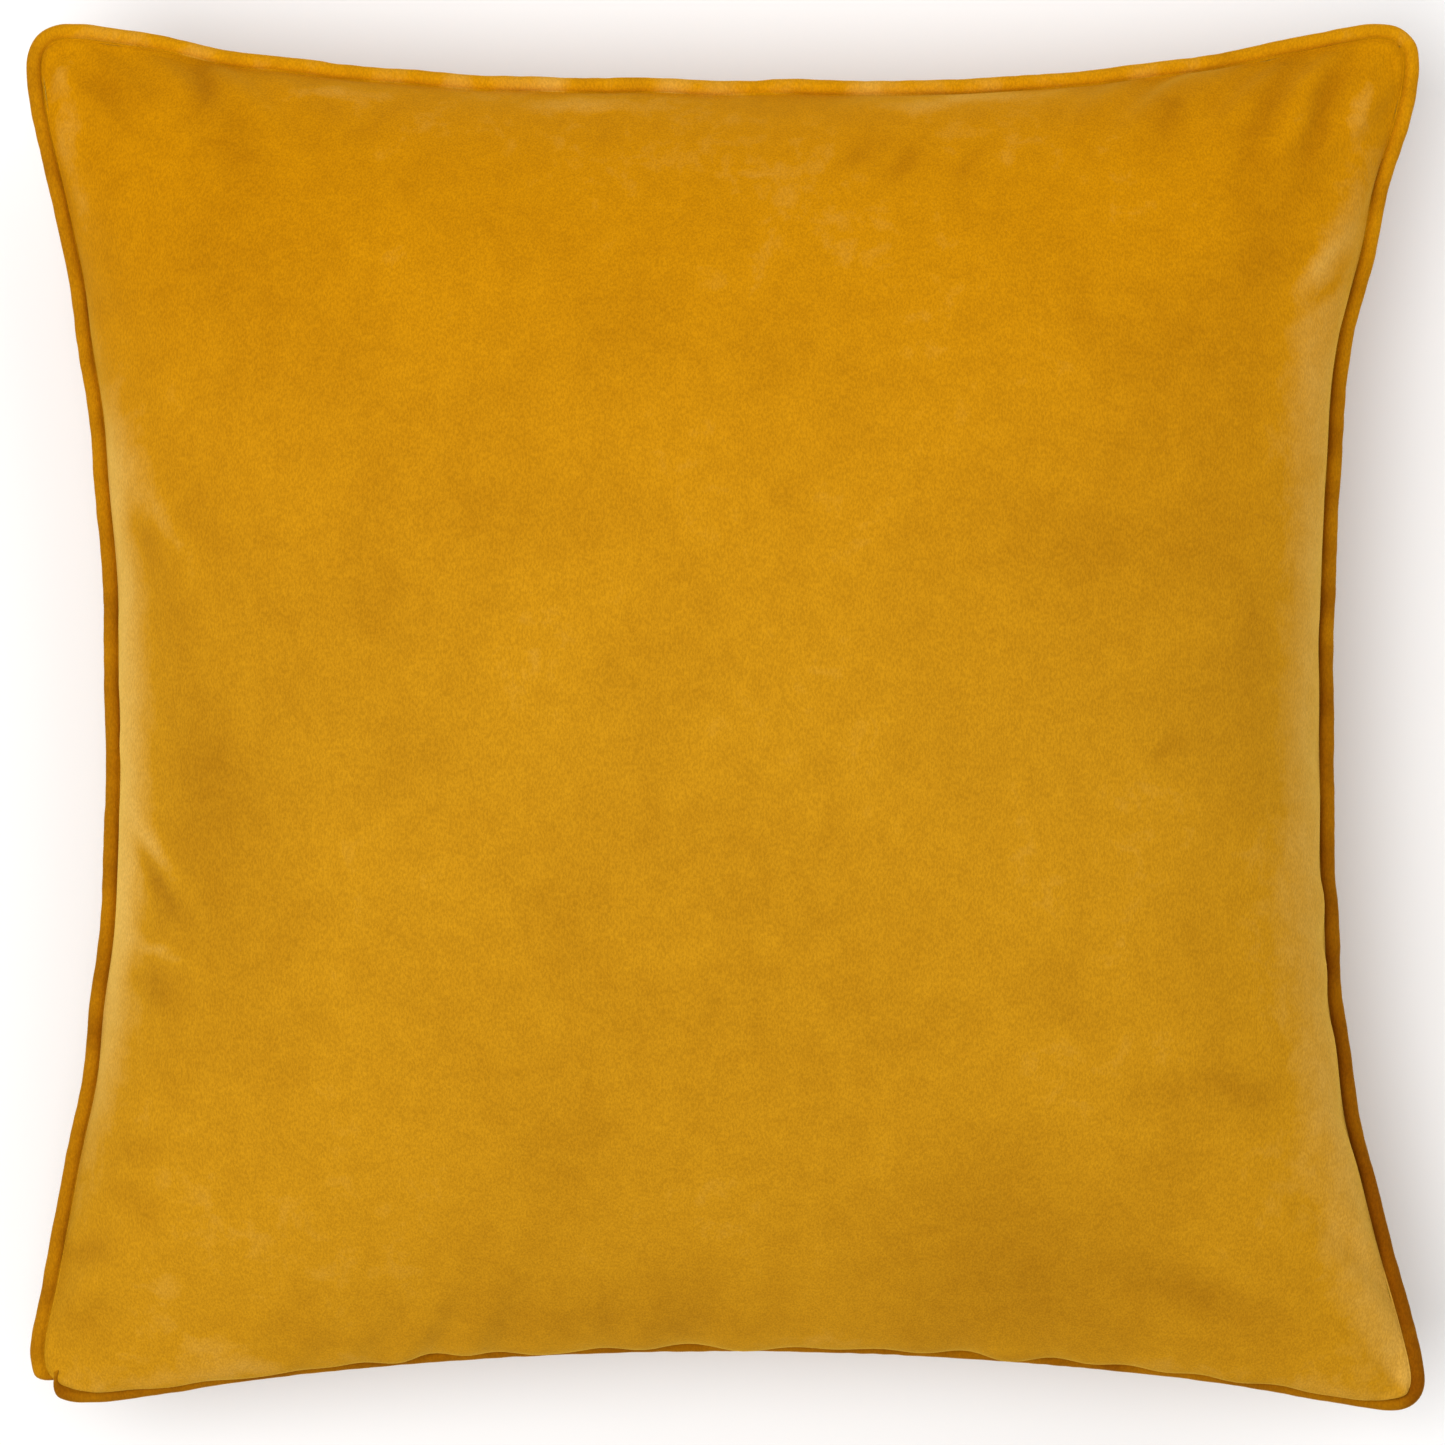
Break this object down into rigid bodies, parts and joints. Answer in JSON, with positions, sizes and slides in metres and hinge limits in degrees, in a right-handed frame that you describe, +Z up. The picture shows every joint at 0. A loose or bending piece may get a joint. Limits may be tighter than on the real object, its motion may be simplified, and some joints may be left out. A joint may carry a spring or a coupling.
{
  "type": "throw pillow",
  "caption": "Square throw pillow with a piped velvet cover whose sides pull in between its corners, a zip along its lower edge and a filled inner cushion.",
  "frame": {"origin": "on the resting surface, under the middle of the pillow", "axes": "+Z up out of the pillow's face, +Y towards its upper edge, +X to its right as seen from its face; the zip is in the -Y edge"},
  "size_m": [0.5573, 0.5525, 0.174],
  "materials": {
    "velvet": "short pile velvet",
    "cotton_cord": "twisted cotton",
    "sewing_thread": "polyester thread",
    "zip_tape": "woven polyester",
    "zip_nylon": "satin nylon",
    "zip_metal": "brushed antique brass",
    "label_satin": "woven satin, blank",
    "cambric": "plain weave cotton",
    "filling": "loose fibre"
  },
  "bodies": {
    "cushion": {"front_panel": "velvet", "back_panel": "velvet", "piping_wrap": "velvet", "piping_cord": "cotton_cord", "cover_seam_thread": "sewing_thread", "overlock_edging": "sewing_thread", "zip_tape_upper": "zip_tape", "zip_tape_lower": "zip_tape", "zip_coil_upper": "zip_nylon", "zip_coil_lower": "zip_nylon", "zip_top_stops": "zip_metal", "zip_bottom_stop": "zip_metal", "zip_stitching": "sewing_thread", "care_label": "label_satin", "insert_front_casing": "cambric", "insert_back_casing": "cambric", "insert_seam_thread": "sewing_thread", "insert_fill": "filling"},
    "slider": {"zip_slider": "zip_metal"},
    "pull": {"zip_pull": "zip_metal"}
  },
  "joints": [
    {"name": "zip_travel", "type": "hinge", "parent": "cushion", "child": "slider", "pos_m": [0, -1.79538, 0.078], "axis": [0, 0, 1], "range_deg": [0, 13.66]},
    {"name": "pull_tilt", "type": "hinge", "parent": "slider", "child": "pull", "pos_m": [0.18459, -0.25401, 0.07058], "axis": [-0.0841, -0.7021, 0.7071], "range_deg": [0, 170]}
  ]
}
